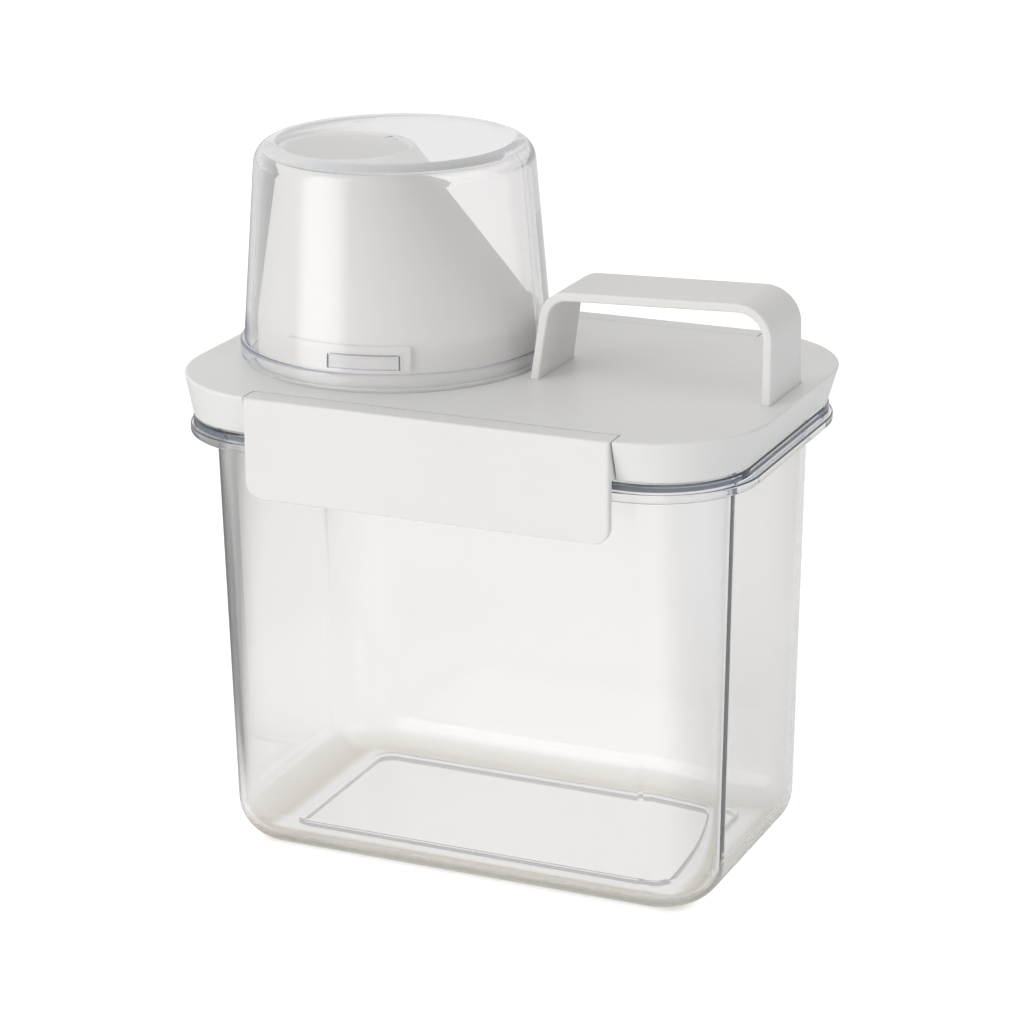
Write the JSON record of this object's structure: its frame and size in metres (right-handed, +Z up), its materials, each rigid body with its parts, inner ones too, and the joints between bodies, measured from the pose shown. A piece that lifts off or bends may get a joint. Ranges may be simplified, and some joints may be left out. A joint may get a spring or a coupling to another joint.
{
  "type": "detergent storage container",
  "caption": "Clear box-shaped storage container with a white pouring lid, strap handle, side flap latches and a clear measuring cup that closes the spout.",
  "frame": {"origin": "centre of the base, at the height it stands on", "axes": "+Z up, +X along the long side towards the handle, -Y the front"},
  "size_m": [0.165, 0.1134, 0.1943],
  "materials": {
    "clear_plastic": "clear moulded plastic, polished",
    "cup_plastic": "clear moulded plastic, polished",
    "white_plastic": "white moulded plastic, satin",
    "seal_rubber": "soft milky silicone rubber"
  },
  "bodies": {
    "container": {"container": "clear_plastic"},
    "lid": {"lid": "white_plastic", "lid_gasket": "seal_rubber", "handle": "white_plastic"},
    "front_latch": {"front_latch": "white_plastic"},
    "rear_latch": {"rear_latch": "white_plastic"},
    "cup_seal": {"cup_seal": "seal_rubber"},
    "measuring_cup": {"measuring_cup": "cup_plastic"}
  },
  "joints": [
    {"name": "lid_lift", "type": "slide", "parent": "container", "child": "lid", "axis": [0, 0, 1], "range_m": [0, 0.06]},
    {"name": "front_latch_hinge", "type": "hinge", "parent": "lid", "child": "front_latch", "pos_m": [0, -0.0527, 0.1325], "axis": [-1, 0, 0], "range_deg": [0, 85]},
    {"name": "rear_latch_hinge", "type": "hinge", "parent": "lid", "child": "rear_latch", "pos_m": [0, 0.0527, 0.1325], "axis": [1, 0, 0], "range_deg": [0, 85]},
    {"name": "cup_twist", "type": "hinge", "parent": "lid", "child": "cup_seal", "pos_m": [-0.03375, 0, 0.1355], "axis": [0, 0, -1], "range_deg": [0, 85]},
    {"name": "cup_lift", "type": "slide", "parent": "cup_seal", "child": "measuring_cup", "axis": [0, 0, 1], "range_m": [0, 0.08]}
  ]
}
